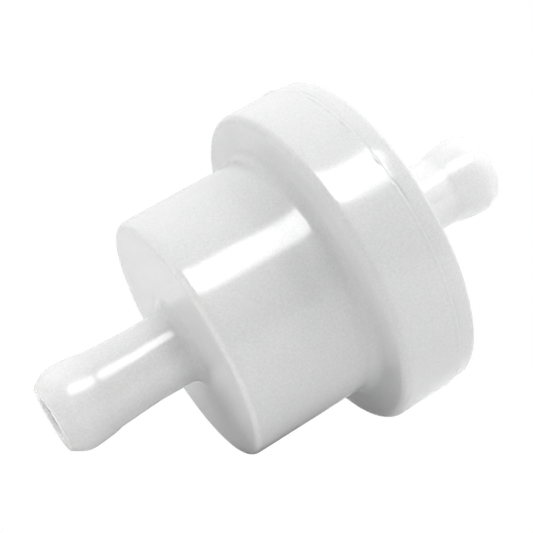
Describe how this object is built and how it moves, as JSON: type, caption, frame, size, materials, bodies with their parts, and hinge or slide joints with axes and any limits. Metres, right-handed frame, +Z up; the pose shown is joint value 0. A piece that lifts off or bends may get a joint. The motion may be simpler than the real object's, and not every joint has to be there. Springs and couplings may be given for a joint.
{
  "type": "inline fuel filter",
  "caption": "Small inline fuel filter: a welded white plastic housing and cover with a bulb-ended hose nipple at each end and a pleated paper element inside.",
  "frame": {"origin": "centre of the part's bounding box, on the flow axis", "axes": "+X along the flow axis from the inlet nipple to the outlet nipple, +Z up, +Y completes the right-handed frame"},
  "size_m": [0.0446, 0.03, 0.03],
  "materials": {
    "white_nylon": "glossy, slightly translucent natural white moulding",
    "element_plastic": "satin natural moulding",
    "filter_paper": "matt resin-treated paper",
    "seal_rubber": "matt",
    "amber_adhesive": "glossy set adhesive"
  },
  "bodies": {
    "root": {"inlet_housing": "white_nylon", "outlet_cover": "white_nylon", "element_flange": "element_plastic", "element_end_cap": "element_plastic", "core_tube": "element_plastic", "pleated_paper": "filter_paper", "inlet_end_adhesive": "amber_adhesive", "outlet_end_adhesive": "amber_adhesive", "seal_ring": "seal_rubber"}
  },
  "joints": []
}
